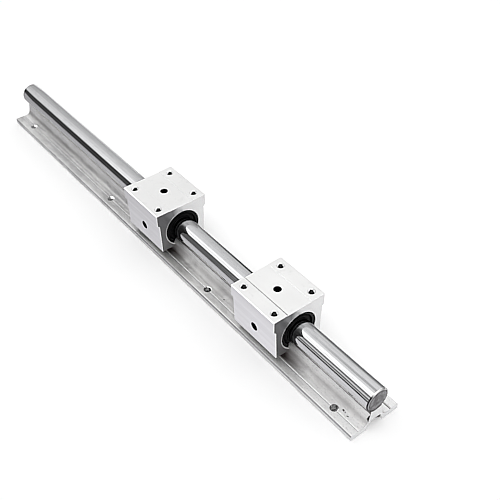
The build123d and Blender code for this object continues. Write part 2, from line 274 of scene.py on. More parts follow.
    # painted shade: the far (+Y) groove dark, and a thin dark line beside the grooves
    col = mix_rgb(nt, M(nt, "MULTIPLY", groove, mapped(nt, y, 0.0, 1 * MM, 0.0, 0.9)), col, (0.10, 0.075, 0.075, 1))
    line = M(nt, "MULTIPLY", mapped(nt, ay, 15.45 * MM, 15.55 * MM, 0.0, 1.0), mapped(nt, ay, 15.95 * MM, 16.15 * MM, 1.0, 0.0))
    line = M(nt, "MULTIPLY", line, mapped(nt, z, 4.4 * MM, 4.6 * MM, 0.0, 1.0))
    col = mix_rgb(nt, M(nt, "MULTIPLY", line, M(nt, "MULTIPLY", near, 0.6)), col, (0.36, 0.355, 0.36, 1))
    # painted highlight on the flange's top edge; painted shade on the upper part of its outer side, lighter lower down
    edge = M(nt, "MULTIPLY", mapped(nt, ay, 20.9 * MM, 21.1 * MM, 0.0, 1.0), mapped(nt, z, 4.93 * MM, 4.97 * MM, 0.0, 1.0))
    col = mix_rgb(nt, M(nt, "MULTIPLY", edge, near), col, (0.97, 0.97, 0.97, 1))
    rim = M(nt, "MULTIPLY", mapped(nt, ay, 21.9 * MM, 22.1 * MM, 0.0, 1.0), mapped(nt, z, 3.7 * MM, 3.9 * MM, 0.0, 1.0))
    col = mix_rgb(nt, M(nt, "MULTIPLY", rim, M(nt, "MULTIPLY", near, 0.85)), col, (0.27, 0.268, 0.275, 1))
    low = M(nt, "MULTIPLY", mapped(nt, ay, 22.36 * MM, 22.46 * MM, 0.0, 1.0), mapped(nt, z, 3.6 * MM, 3.8 * MM, 1.0, 0.0))
    col = mix_rgb(nt, M(nt, "MULTIPLY", low, M(nt, "MULTIPLY", near, 0.5)), col, (0.62, 0.618, 0.625, 1))
    # painted shadow and dark reflection in front of each block, on the
    # outside of the extrusion only
    lean = M(nt, "MULTIPLY", M(nt, "SUBTRACT", 7.6 * MM, z), 0.35)
    inside = M(nt, "MULTIPLY", mapped(nt, M(nt, "SUBTRACT", ay, M(nt, "ADD", lean, 5.6 * MM)), 0.0, 0.2 * MM, 1.0, 0.0),
               mapped(nt, z, 7.7 * MM, 7.9 * MM, 1.0, 0.0))
    outside = M(nt, "MULTIPLY", mapped(nt, z, 4.5 * MM, 4.8 * MM, 0.0, 1.0), M(nt, "SUBTRACT", 1.0, inside))
    for xc in (REAR_X, FRONT_X):
        away = M(nt, "ADD", M(nt, "SUBTRACT", x, xc + 25 * MM), mapped(nt, patch, 0.3, 0.7, -4 * MM, 4 * MM))
        painted_block_shadow = M(nt, "MULTIPLY", mapped(nt, away, -1 * MM, 17 * MM, 1.0, 0.0), mapped(nt, x, xc + 10 * MM, xc + 14 * MM, 0.0, 1.0))
        painted_block_shadow = M(nt, "MULTIPLY", painted_block_shadow, M(nt, "MULTIPLY", mapped(nt, y, -14.6 * MM, -13.6 * MM, 0.0, 1.0), mapped(nt, z, 8.5 * MM, 11 * MM, 1.0, 0.45)))
        painted_block_shadow = M(nt, "MULTIPLY", painted_block_shadow, M(nt, "MULTIPLY", mapped(nt, y, -4.6 * MM, -4.2 * MM, 1.0, 0.0), outside))
        col = mix_rgb(nt, M(nt, "MULTIPLY", painted_block_shadow, mapped(nt, z, 5.1 * MM, 6.2 * MM, 0.92, 0.58)), col, (0.070, 0.046, 0.045, 1))
    put(nt, b.inputs["Base Color"], col)
    metal = mapped(nt, x, 0.04, 0.23, 0.76, 0.52)
    hollow = M(nt, "MULTIPLY", foot, mapped(nt, x, -0.20, 0.05, 0.0, 0.52))
    put(nt, b.inputs["Metallic"], M(nt, "SUBTRACT", metal, M(nt, "MULTIPLY", hollow, metal)))
    b.inputs["Specular IOR Level"].default_value = 0.4
    rough = M(nt, "ADD", mapped(nt, die, 0.3, 0.7, 0.36, 0.46), mapped(nt, patch, 0.4, 0.7, 0.0, 0.08))
    put(nt, b.inputs["Roughness"], rough)
    b.inputs["Anisotropic"].default_value = 0.72
    b.inputs["Anisotropic Rotation"].default_value = 0.25
    put(nt, b.inputs["Tangent"], N(nt, "CombineXYZ", 1.0, 0.0, 0.0))
    n1 = bump(nt, die, 0.30, 0.00006)
    put(nt, b.inputs["Normal"], bump(nt, fine, 0.12, 0.00002, n1))
    return m


def sawn_material(name="sawn_aluminium", dark=(0.66, 0.66, 0.665, 1), light=(0.84, 0.84, 0.845, 1)):
    """Sawn and deburred end of the extrusion: straight saw marks."""
    m, nt, b = new_material(name)
    co = obj_coord(nt)
    rot = N(nt, "Mapping", co, named={"Rotation": (0.0, 0.0, 0.0), "Scale": (40, 60, 2400)})
    marks = N(nt, "TexNoise", named={"Vector": rot, "Scale": 1.0, "Detail": 3.0, "Roughness": 0.55})
    soft = noise(nt, co, (150, 150, 150), 2.0, 0.5)
    put(nt, b.inputs["Base Color"], mix_rgb(nt, mapped(nt, marks, 0.3, 0.7, 0.0, 1.0), dark, light))
    b.inputs["Metallic"].default_value = 1.0
    put(nt, b.inputs["Roughness"], mapped(nt, soft, 0.3, 0.7, 0.36, 0.48))
    put(nt, b.inputs["Normal"], bump(nt, marks, 0.3, 0.00004))
    return m


def drilled_material():
    """Wall of a drilled hole: fine rings round it, a painted highlight on one
    side at the far end, painted shade towards the near end; the wall glows a little."""
    m, nt, b = new_material("drilled_aluminium")
    co = obj_coord(nt)
    x, y, z = split(nt, co)
    marks = noise(nt, co, (60, 60, 5200), 3.0, 0.6)
    blot = noise(nt, co, (520, 520, 520), 3.0, 0.6)
    geo = nt.nodes.new("ShaderNodeNewGeometry")
    nx, ny, nz = split(nt, geo.outputs["Normal"])
    turn = M(nt, "ADD", M(nt, "MULTIPLY", nx, 0.62), M(nt, "MULTIPLY", ny, 0.785))
    # far holes: painted highlight high on one side, painted shade below and beside it
    painted_lit_wall = mix_rgb(nt, mapped(nt, marks, 0.3, 0.7, 0.0, 1.0), (0.92, 0.92, 0.92, 1), (1.0, 1.0, 1.0, 1))
    painted_shade_tone = mix_rgb(nt, mapped(nt, blot, 0.35, 0.65, 0.0, 1.0), (0.13, 0.13, 0.13, 1), (0.26, 0.26, 0.26, 1))
    high = M(nt, "MULTIPLY", mapped(nt, turn, 0.05, 0.30, 1.0, 0.0), mapped(nt, z, 2.3 * MM, 3.0 * MM, 0.0, 1.0))
    one = mix_rgb(nt, high, painted_shade_tone, painted_lit_wall)
    # near holes: painted shade in them, with a painted highlight in the middle of the wall
    painted_hole_shade = mix_rgb(nt, mapped(nt, blot, 0.40, 0.62, 0.0, 1.0), (0.04, 0.04, 0.04, 1), (0.14, 0.14, 0.14, 1))
    pale = mix_rgb(nt, mapped(nt, blot, 0.38, 0.62, 0.0, 1.0), (0.16, 0.16, 0.16, 1), (0.42, 0.42, 0.42, 1))
    mid = M(nt, "MULTIPLY", mapped(nt, M(nt, "ABSOLUTE", M(nt, "SUBTRACT", z, 2.4 * MM)), 1.0 * MM, 1.7 * MM, 1.0, 0.0),
            M(nt, "MULTIPLY", mapped(nt, turn, -0.35, -0.15, 0.0, 1.0), mapped(nt, turn, 0.60, 0.78, 1.0, 0.0)))
    two = mix_rgb(nt, mid, painted_hole_shade, pale)
    # painted shade: black on one side
    two = mix_rgb(nt, mapped(nt, turn, -0.45, -0.60, 0.0, 0.9), two, (0.015, 0.015, 0.015, 1))
    # nearest holes: mottled painted shade, black on one side, paler low down
    last = mapped(nt, noise(nt, co, (800, 800, 800), 3.0, 0.6), 0.40, 0.60, 0.0, 1.0)
    last = mix_rgb(nt, last, (0.05, 0.05, 0.05, 1), (0.36, 0.36, 0.36, 1))
    last = mix_rgb(nt, mapped(nt, M(nt, "ABSOLUTE", M(nt, "ADD", turn, 0.66)), 0.08, 0.16, 0.9, 0.0), last, (0.015, 0.015, 0.015, 1))
    last = mix_rgb(nt, mapped(nt, z, 0.8 * MM, 2.0 * MM, 0.55, 0.0), last, (0.34, 0.34, 0.34, 1))
    two = mix_rgb(nt, mapped(nt, x, 0.15, 0.20, 0.0, 0.9), two, last)
    col = mix_rgb(nt, mapped(nt, x, -0.03, 0.03, 0.0, 1.0), one, two)
    # the broken edge round the mouth: painted highlight on one side, painted shade on the other
    lift = M(nt, "SUBTRACT", M(nt, "MULTIPLY", ny, 0.626), M(nt, "MULTIPLY", nx, 0.78))
    painted_light = mapped(nt, M(nt, "ADD", turn, lift), -0.62, -0.40, 1.0, 0.0)
    painted_light = M(nt, "MULTIPLY", painted_light, mapped(nt, x, 0.15, 0.20, 1.0, 0.0))
    painted_light = M(nt, "MAXIMUM", painted_light, M(nt, "MULTIPLY", mapped(nt, M(nt, "SUBTRACT", turn, lift), -0.90, -0.70, 1.0, 0.0),
                                      mapped(nt, x, 0.15, 0.20, 0.0, 1.0)))
    mouth_shade = mix_rgb(nt, mapped(nt, x, -0.03, 0.03, 0.0, 1.0), (0.26, 0.26, 0.26, 1), (0.08, 0.08, 0.08, 1))
    mouth = mix_rgb(nt, painted_light, mouth_shade, (0.95, 0.95, 0.95, 1))
    col = mix_rgb(nt, mapped(nt, nz, 0.3, 0.5, 0.0, 1.0), col, mouth)
    put(nt, b.inputs["Base Color"], col)
    b.inputs["Metallic"].default_value = 0.0
    b.inputs["Specular IOR Level"].default_value = 0.2
    # painted light: the wall glows in its own colour
    put(nt, b.inputs["Emission Color"], col)
    b.inputs["Emission Strength"].default_value = 0.5
    put(nt, b.inputs["Roughness"], mapped(nt, marks, 0.3, 0.7, 0.34, 0.46))
    put(nt, b.inputs["Normal"], bump(nt, marks, 0.3, 0.00003))
    return m


def housing_material():
    """Satin anodised block, drawn lines along it, the top painted a little lighter than the sides, as light falls on
    it.
    """
    m, nt, b = new_material("anodised_block")
    co = obj_coord(nt)
    x, y, z = split(nt, co)
    die = noise(nt, co, (2.0, 300, 300), 4.0, 0.5)
    grain = noise(nt, co, (2600, 2600, 2600), 2.0, 0.5)
    soft = noise(nt, co, (24, 36, 36), 2.0, 0.5)
    spots = noise(nt, co, (170, 170, 170), 4.0, 0.6)
    top = mapped(nt, z, 49.3 * MM, 49.6 * MM, 0.0, 1.0)
    side = mix_rgb(nt, mapped(nt, die, 0.36, 0.66, 0.0, 1.0), (0.77, 0.768, 0.785, 1), (0.83, 0.828, 0.845, 1))
    side = mix_rgb(nt, mapped(nt, soft, 0.4, 0.7, 0.0, 0.4), side, (0.75, 0.748, 0.755, 1))
    lid = mix_rgb(nt, mapped(nt, soft, 0.36, 0.66, 0.0, 1.0), (0.915, 0.915, 0.91, 1), (0.97, 0.97, 0.965, 1))
    col = mix_rgb(nt, top, side, lid)
    col = mix_rgb(nt, mapped(nt, spots, 0.60, 0.78, 0.0, 0.16), col, (0.55, 0.55, 0.54, 1))
    # painted shade in the corner of the recess, on the front block only, darker towards the near end
    corner = M(nt, "MULTIPLY", mapped(nt, y, -11.3 * MM, -11.2 * MM, 0.0, 1.0), mapped(nt, y, -10.75 * MM, -10.65 * MM, 1.0, 0.0))
    corner = M(nt, "MULTIPLY", corner, M(nt, "MULTIPLY", mapped(nt, z, 49.55 * MM, 49.6 * MM, 0.0, 1.0), mapped(nt, z, 49.7 * MM, 49.75 * MM, 1.0, 0.0)))
    corner = M(nt, "MULTIPLY", corner, ramp(nt, mapped(nt, x, 0.118, 0.170, 0.0, 1.0), [(0.0, 0.35), (0.35, 0.6), (1.0, 0.85)]))
    corner = M(nt, "MULTIPLY", corner, mapped(nt, x, 0.08, 0.09, 0.0, 1.0))
    col = mix_rgb(nt, corner, col, (0.10, 0.10, 0.10, 1))
    put(nt, b.inputs["Base Color"], col)
    b.inputs["Metallic"].default_value = 1.0
    put(nt, b.inputs["Roughness"], M(nt, "ADD", mapped(nt, grain, 0.3, 0.7, 0.38, 0.44), mapped(nt, soft, 0.3, 0.7, 0.0, 0.05)))
    n1 = bump(nt, die, 0.10, 0.00003)
    put(nt, b.inputs["Normal"], bump(nt, grain, 0.10, 0.00002, n1))
    return m


def tapped_material():
    """Cut thread: painted shade down the middle of one side and in the depth,
    the rest bright, with a painted highlight that glows high on one side."""
    m, nt, b = new_material("cut_thread")
    co = obj_coord(nt)
    x, y, z = split(nt, co)
    g = noise(nt, co, (700, 700, 3000), 4.0, 0.6)
    geo = nt.nodes.new("ShaderNodeNewGeometry")
    nx, ny, _ = split(nt, geo.outputs["Normal"])
    flat = M(nt, "SQRT", M(nt, "ADD", M(nt, "MULTIPLY", nx, nx), M(nt, "MULTIPLY", ny, ny)))
    turn = M(nt, "DIVIDE", M(nt, "ADD", M(nt, "MULTIPLY", nx, 0.79), M(nt, "MULTIPLY", ny, -0.613)), M(nt, "MAXIMUM", flat, 0.05))
    deep = M(nt, "MULTIPLY", M(nt, "POWER", M(nt, "MULTIPLY", M(nt, "SUBTRACT", 50 * MM, z), 1000.0), 2.0), 0.06)
    # painted shade: dark down the middle of one side and in the depth
    painted_hole_shade = mapped(nt, M(nt, "ADD", turn, deep), 0.945, 1.02, 0.0, 1.0)
    painted_lit_wall = mix_rgb(nt, mapped(nt, g, 0.3, 0.7, 0.0, 1.0), (0.62, 0.62, 0.62, 1), (0.80, 0.80, 0.80, 1))
    put(nt, b.inputs["Base Color"], mix_rgb(nt, painted_hole_shade, painted_lit_wall, (0.035, 0.035, 0.036, 1)))
    # painted highlight: the upper wall glows on one side
    glow = M(nt, "MULTIPLY", M(nt, "SUBTRACT", 1.0, painted_hole_shade), mapped(nt, z, 41 * MM, 45 * MM, 0.0, 1.0))
    glow = M(nt, "MULTIPLY", glow, mapped(nt, turn, 0.05, 0.45, 0.0, 1.0))
    put(nt, b.inputs["Emission Color"], mix_rgb(nt, glow, (0, 0, 0, 1), painted_lit_wall))
    b.inputs["Emission Strength"].default_value = 0.55
    b.inputs["Metallic"].default_value = 0.45
    put(nt, b.inputs["Roughness"], mapped(nt, g, 0.3, 0.7, 0.34, 0.44))
    put(nt, b.inputs["Normal"], bump(nt, g, 0.2, 0.00003))
    return m


def milled_material():
    """Milled end faces and bore of the block: cutter arcs, and painted shade
    that leaves the side with the set screw darker, darker still in the shaft's reflection."""
    m, nt, b = new_material("milled_aluminium")
    co = obj_coord(nt)
    x, y, z = split(nt, co)
    arcs = nt.nodes.new("ShaderNodeTexWave")
    arcs.wave_type = "RINGS"
    arcs.rings_direction = "X"
    arcs.wave_profile = "SIN"
    put(nt, arcs.inputs["Vector"], N(nt, "Mapping", co, named={"Location": (0.0, 0.012, -0.120)}))
    put(nt, arcs.inputs["Scale"], 420.0)
    put(nt, arcs.inputs["Distortion"], 1.5)
    put(nt, arcs.inputs["Detail"], 2.0)
    wave = arcs.outputs[1]
    soft = noise(nt, co, (90, 90, 90), 3.0, 0.55)
    shift = M(nt, "ADD", y, mapped(nt, soft, 0.3, 0.7, -1.5 * MM, 1.5 * MM))
    # painted shade: the -Y half of the end faces dark, the +Y half pale
    dark = mix_rgb(nt, wave, (0.235, 0.235, 0.24, 1), (0.27, 0.27, 0.275, 1))
    pale = mix_rgb(nt, wave, (0.70, 0.70, 0.705, 1), (0.76, 0.76, 0.76, 1))
    col = mix_rgb(nt, mapped(nt, shift, -7.5 * MM, -3 * MM, 0.0, 1.0), dark, pale)
    # painted highlight: a bright ring round the mouth of the bore
    d = M(nt, "SQRT", M(nt, "ADD", M(nt, "MULTIPLY", y, y), M(nt, "POWER", M(nt, "SUBTRACT", z, AXIS_Z), 2.0)))
    col = mix_rgb(nt, mapped(nt, d, 16.75 * MM, 16.95 * MM, 1.0, 0.0), col, (0.90, 0.90, 0.90, 1))
    # painted shade in the shaft's reflection only, strongest on the -Y side and weaker near the top
    mirror_shade = M(nt, "MULTIPLY", mapped(nt, shift, -10 * MM, -2 * MM, 0.94, 0.10), mapped(nt, z, 44 * MM, 50 * MM, 1.0, 0.6))
    put(nt, b.inputs["Base Color"], painted_shade_in_mirror(nt, col, mirror_shade))
    b.inputs["Metallic"].default_value = 1.0
    put(nt, b.inputs["Roughness"], mapped(nt, soft, 0.3, 0.7, 0.30, 0.38))
    put(nt, b.inputs["Normal"], bump(nt, wave, 0.05, 0.00002))
    return m


def bright_edge_material(name="bright_edge", lo=0.88, hi=0.97, rough=0.42):
    """Satin edge, bright like a freshly cut edge and partly a painted highlight; with dark tones it is painted shade.
    Darker in the shaft's reflection (painted shade).
    """
    m, nt, b = new_material(name)
    co = obj_coord(nt)
    g = noise(nt, co, (900, 900, 900), 3.0, 0.6)
    col = mix_rgb(nt, mapped(nt, g, 0.3, 0.7, 0.0, 1.0), (lo, lo, lo, 1), (hi, hi, hi, 1))
    _, y, _ = split(nt, co)
    put(nt, b.inputs["Base Color"], painted_shade_in_mirror(nt, col, mapped(nt, y, -6 * MM, 1.5 * MM, 0.95, 0.4)))
    b.inputs["Metallic"].default_value = 0.5
    put(nt, b.inputs["Roughness"], mapped(nt, g, 0.3, 0.7, rough - 0.05, rough + 0.05))
    put(nt, b.inputs["Normal"], bump(nt, g, 0.1, 0.00002))
    return m


def lit_edge_material(name, glow):
    """Small broken edge with a painted highlight: it glows white, and is darker in the shaft's reflection (painted
    shade).
    """
    m, nt, b = new_material(name)
    co = obj_coord(nt)
    g = noise(nt, co, (900, 900, 900), 3.0, 0.6)
    put(nt, b.inputs["Base Color"], painted_shade_in_mirror(nt, mix_rgb(nt, mapped(nt, g, 0.3, 0.7, 0.0, 1.0), (0.90, 0.90, 0.90, 1), (0.97, 0.97, 0.97, 1)), 0.6))
    b.inputs["Emission Color"].default_value = (1.0, 1.0, 1.0, 1)
    b.inputs["Emission Strength"].default_value = glow
    put(nt, b.inputs["Roughness"], mapped(nt, g, 0.3, 0.7, 0.40, 0.50))
    put(nt, b.inputs["Normal"], bump(nt, g, 0.1, 0.00002))
    return m


def chamfer_material():
    """Chamfer of the shaft's end: painted highlight on top, painted shade below."""
    m, nt, b = new_material("shaft_chamfer")
    co = obj_coord(nt)
    x, y, z = split(nt, co)
    dz = M(nt, "SUBTRACT", z, AXIS_Z)
    phi = M(nt, "ARCTAN2", y, dz)                    # 0 on top, + towards +Y
    g = noise(nt, co, (1500, 500, 500), 3.0, 0.6)
    r = M(nt, "SQRT", M(nt, "ADD", M(nt, "MULTIPLY", y, y), M(nt, "MULTIPLY", dz, dz)))
    # painted highlight on the top of the chamfer, painted shade below it
    up = M(nt, "MULTIPLY", mapped(nt, phi, -0.75, -0.35, 0.0, 1.0), mapped(nt, phi, 0.85, 1.1, 1.0, 0.0))
    dark = mix_rgb(nt, mapped(nt, g, 0.3, 0.7, 0.0, 1.0), (0.035, 0.033, 0.036, 1), (0.07, 0.068, 0.072, 1))
    # painted highlight: a paler line along its inner edge on the -Y side
    inner = M(nt, "MULTIPLY", mapped(nt, r, 9.2 * MM, 9.3 * MM, 1.0, 0.0),
              M(nt, "MULTIPLY", mapped(nt, phi, -2.2, -1.7, 0.0, 1.0), mapped(nt, phi, -0.6, -0.4, 1.0, 0.0)))
    dark = mix_rgb(nt, inner, dark, (0.30, 0.30, 0.31, 1))
    col = mix_rgb(nt, up, dark, (0.90, 0.90, 0.90, 1))
    put(nt, b.inputs["Base Color"], col)
    b.inputs["Metallic"].default_value = 1.0
    put(nt, b.inputs["Roughness"], mapped(nt, g, 0.3, 0.7, 0.26, 0.36))
    put(nt, b.inputs["Normal"], bump(nt, g, 0.15, 0.00002))
    return m


def steel_material(name, col_a, col_b, rough, marks=(60, 900, 900)):
    m, nt, b = new_material(name)
    co = obj_coord(nt)
    g = noise(nt, co, marks, 4.0, 0.6)
    put(nt, b.inputs["Base Color"], mix_rgb(nt, mapped(nt, g, 0.3, 0.7, 0.0, 1.0), (*col_a, 1), (*col_b, 1)))
    b.inputs["Metallic"].default_value = 1.0
    put(nt, b.inputs["Roughness"], mapped(nt, g, 0.3, 0.7, rough - 0.05, rough + 0.05))
    put(nt, b.inputs["Normal"], bump(nt, g, 0.2, 0.00003))
    return m


def dark_material(name, col, rough, spec=0.5, scale=1800, strength=0.15, dist=0.00004, metallic=0.0):
    m, nt, b = new_material(name)
    co = obj_coord(nt)
    g = noise(nt, co, (scale, scale, scale), 3.0, 0.6)
    big = noise(nt, co, (120, 120, 120), 2.0, 0.5)
    lo = tuple(c * 0.8 for c in col)
    hi = tuple(c * 1.35 for c in col)
    put(nt, b.inputs["Base Color"], mix_rgb(nt, mapped(nt, big, 0.3, 0.7, 0.0, 1.0), (*lo, 1), (*hi, 1)))
    b.inputs["Metallic"].default_value = metallic
    b.inputs["Specular IOR Level"].default_value = spec
    put(nt, b.inputs["Roughness"], mapped(nt, g, 0.3, 0.7, rough - 0.06, rough + 0.06))
    put(nt, b.inputs["Normal"], bump(nt, g, strength, dist))
    return m


MAT = {
    "ground_shaft": shaft_material(),
    "shaft_end": turned_end_material(),
    "shaft_chamfer": chamfer_material(),
    # bright like a freshly cut edge and partly a painted highlight, darker in the shaft's reflection (painted shade)
    "bright_edge": bright_edge_material(),
    # painted shade: near-black -Y wall of the front block's top recess
    "dull_edge": bright_edge_material("dull_edge", 0.05, 0.09, 0.5),
    # painted shade: near-black underside of the blocks
    "under_edge": bright_edge_material("under_edge", 0.05, 0.09, 0.5),
    # painted highlights: edges that glow white, strongest on the blocks' -Y top edge, then the front block's +Y recess
    # wall, faint on the rear block's recess walls
    "lit_edge": lit_edge_material("lit_edge", 0.40),
    "lid_edge": lit_edge_material("lid_edge", 0.17),
    "even_edge": lit_edge_material("even_edge", 0.04),
    "support_extrusion": extrusion_material(),
    "support_end": sawn_material(),
    "drilled": drilled_material(),
    "block_aluminium": housing_material(),
    "block_end": milled_material(),
    "tapped": tapped_material(),
    "tap_mouth": steel_material("tap_mouth", (0.84, 0.84, 0.845), (0.95, 0.95, 0.95), 0.40, (700, 700, 3000)),
    # painted shade: the bore's wall near black
    "bore_wall": steel_material("bore_wall", (0.05, 0.05, 0.052), (0.10, 0.10, 0.102), 0.40, (2600, 200, 200)),
    # near-black colour on the faces of the gouge in the neck
    "grime": dark_material("grime", (0.02, 0.019, 0.018), 0.6, 0.3, 900),
    "scuff": dark_material("scuff", (0.15, 0.147, 0.145), 0.6, 0.3, 900),
    # painted shade: near-black walls of the lubrication and set screw holes
    "greasy_hole": dark_material("greasy_hole", (0.003, 0.003, 0.003), 0.6, 0.05, 900),
    "bearing_steel": steel_material("bearing_steel_ground", (0.50, 0.50, 0.51), (0.66, 0.66, 0.67), 0.22),
    "cage_plastic": dark_material("cage_black", (0.012, 0.012, 0.013), 0.5, 0.2),
    "seal_rubber": dark_material("seal_black_rubber", (0.0022, 0.0022, 0.0025), 0.5, 0.07),
    "blackened_steel": dark_material("black_oxide", (0.004, 0.004, 0.0045), 0.36, 0.13, 1200, 0.2),
    "zinc_screw": steel_material("zinc_plate", (0.62, 0.63, 0.65), (0.76, 0.77, 0.78), 0.30, (500, 500, 500)),
}


# ------------------------------------------------------------ mesh helpers
def make_object(name, bm_or_mesh, materials):
    if isinstance(bm_or_mesh, bmesh.types.BMesh):
        me = bpy.data.meshes.new(name)
        bm_or_mesh.to_mesh(me)
        bm_or_mesh.free()
    else:
        me = bm_or_mesh
    me.name = name
    o = bpy.data.objects.new(name, me)
    scene.collection.objects.link(o)
    for m in materials:
        me.materials.append(m)
    return o


def lathe_x(name, profile, segments, z_axis, materials, closed_ends=True):
    """Turned solid about the X line at height z_axis, from (x, r) points whose
    first and last lie on the axis."""
    bm = bmesh.new()
    rings = []
    for x, r in profile:
        if r < 1e-9:
            rings.append([bm.verts.new((x, 0, z_axis))])
        else:
            rings.append([bm.verts.new((x, r * math.sin(2 * math.pi * k / segments),
                                        z_axis + r * math.cos(2 * math.pi * k / segments)))
                          for k in range(segments)])
    for a, b in zip(rings, rings[1:]):
        for k in range(segments):
            k2 = (k + 1) % segments
            if len(a) == 1:
                bm.faces.new((a[0], b[k2], b[k]))
            elif len(b) == 1:
                bm.faces.new((a[k], a[k2], b[0]))
            else:
                bm.faces.new((a[k], a[k2], b[k2], b[k]))
    bmesh.ops.recalc_face_normals(bm, faces=bm.faces)
    return make_object(name, bm, materials)


def arc(cy, cz, r, a0, a1, n):
    """Points on an arc, angles in degrees from +Y towards +Z."""
    return [(cy + r * math.cos(math.radians(a0 + (a1 - a0) * i / n)),
             cz + r * math.sin(math.radians(a0 + (a1 - a0) * i / n))) for i in range(n + 1)]


def round_corners(points, radii, n=4):
    """Closed polygon with each corner that has a radius replaced by an arc."""
    out = []
    count = len(points)
    for i, p in enumerate(points):
        r = radii[i]
        a, b = points[i - 1], points[(i + 1) % count]
        if not r:
            out.append(p)
            continue
        v1 = Vector((a[0] - p[0], a[1] - p[1]))
        v2 = Vector((b[0] - p[0], b[1] - p[1]))
        l1, l2 = v1.length, v2.length
        v1.normalize(), v2.normalize()
        ang = math.acos(max(-1, min(1, v1.dot(v2))))
        t = min(r / math.tan(ang / 2), 0.45 * l1, 0.45 * l2)
        p1 = Vector(p) + v1 * t
        p2 = Vector(p) + v2 * t
        for k in range(n + 1):
            s = k / n
            q = p1 * (1 - s) ** 2 + Vector(p) * 2 * s * (1 - s) + p2 * s ** 2
            out.append((q.x, q.y))
    return out


def offset_in(points, d):
    """Closed polygon (counter-clockwise) moved inwards by d, mitred."""
    out = []
    count = len(points)
    for i in range(count):
        p0, p1, p2 = (Vector(points[i - 1]), Vector(points[i]), Vector(points[(i + 1) % count]))
        e1 = (p1 - p0).normalized()
        e2 = (p2 - p1).normalized()
        n1 = Vector((-e1.y, e1.x))
        n2 = Vector((-e2.y, e2.x))
        m = (n1 + n2)
        m = m.normalized() if m.length > 1e-9 else n1
        k = d / max(0.35, m.dot(n1))
        q = p1 + m * k
        out.append((q.x, q.y))
    return out


def area2(points):
    return sum(a[0] * b[1] - b[0] * a[1] for a, b in zip(points, points[1:] + points[:1]))


def extrude_x(name, points, radii, x0, x1, xs, chamfer, materials):
    """Extrusion of a closed (y, z) polygon along X, its corners rounded, with
    a small chamfer round both ends. Faces: material 0 along, 1 on the ends."""
    if area2(points) < 0:
        points, radii = points[::-1], radii[::-1]
    outer = round_corners(points, radii)
    inner = round_corners(offset_in(points, chamfer), radii)
    bm = bmesh.new()
    stations = [(x0, inner), (x0 + chamfer, outer)] + [(x, outer) for x in xs] + [(x1 - chamfer, outer), (x1, inner)]
    rings = [[bm.verts.new((x, y, z)) for y, z in pts] for x, pts in stations]
    n = len(outer)
    for a, b in zip(rings, rings[1:]):
        for k in range(n):
            k2 = (k + 1) % n
            bm.faces.new((a[k], b[k], b[k2], a[k2]))
    bm.faces.new(rings[0])
    bm.faces.new(rings[-1][::-1])
    bmesh.ops.recalc_face_normals(bm, faces=bm.faces)
    for f in bm.faces:
        f.material_index = 1 if abs(f.normal.x) > 0.3 else 0
    return make_object(name, bm, materials)


def lathe_z(name, profile, segments, x, y, materials=()):
    """Closed turned cutter about a vertical line, from (r, z) points that
    start and end on the axis."""
    bm = bmesh.new()
    rings = []
    for r, z in profile:
        if r < 1e-9:
            rings.append([bm.verts.new((x, y, z))])
        else:
            rings.append([bm.verts.new((x + r * math.cos(2 * math.pi * k / segments),
                                        y + r * math.sin(2 * math.pi * k / segments), z)) for k in range(segments)])
    for a, b in zip(rings, rings[1:]):
        for k in range(segments):
            k2 = (k + 1) % segments
            if len(a) == 1:
                bm.faces.new((a[0], b[k], b[k2]))
            elif len(b) == 1:
                bm.faces.new((a[k], b[0], a[k2]))
            else:
                bm.faces.new((a[k], b[k], b[k2], a[k2]))
    bmesh.ops.recalc_face_normals(bm, faces=bm.faces)
    return make_object(name, bm, materials)


def cut(obj, cutters, weld=2e-6):
    """Takes the cutters out of obj's mesh for good."""
    me = bpy.data.meshes.new("cutters")
    bm = bmesh.new()
    for c in cutters:
        bm.from_mesh(c.data)
    bm.to_mesh(me)
    bm.free()
    tool = bpy.data.objects.new("cutters", me)
    scene.collection.objects.link(tool)
    mod = obj.modifiers.new("cut", "BOOLEAN")
    mod.operation = "DIFFERENCE"
    mod.solver = "EXACT"
    mod.object = tool
    bpy.context.view_layer.update()
    dg = bpy.context.evaluated_depsgraph_get()
    made = bpy.data.meshes.new_from_object(obj.evaluated_get(dg))
    obj.modifiers.clear()
    # weld the slivers that the cut leaves
    bm = bmesh.new()
    bm.from_mesh(made)
    bmesh.ops.triangulate(bm, faces=[f for f in bm.faces if len(f.verts) > 4])
    bmesh.ops.remove_doubles(bm, verts=bm.verts, dist=weld)
    bmesh.ops.dissolve_degenerate(bm, dist=weld / 2, edges=bm.edges)
    bm.to_mesh(made)
    bm.free()
    old = obj.data
    obj.data = made
    made.name = old.name
    bpy.data.meshes.remove(old)
    bpy.data.objects.remove(tool)
    for c in cutters:
        bpy.data.objects.remove(c)
    return obj


def smooth(obj, angle=30.0):
    me = obj.data
    me.polygons.foreach_set("use_smooth", [True] * len(me.polygons))
    me.set_sharp_from_angle(angle=math.radians(angle))


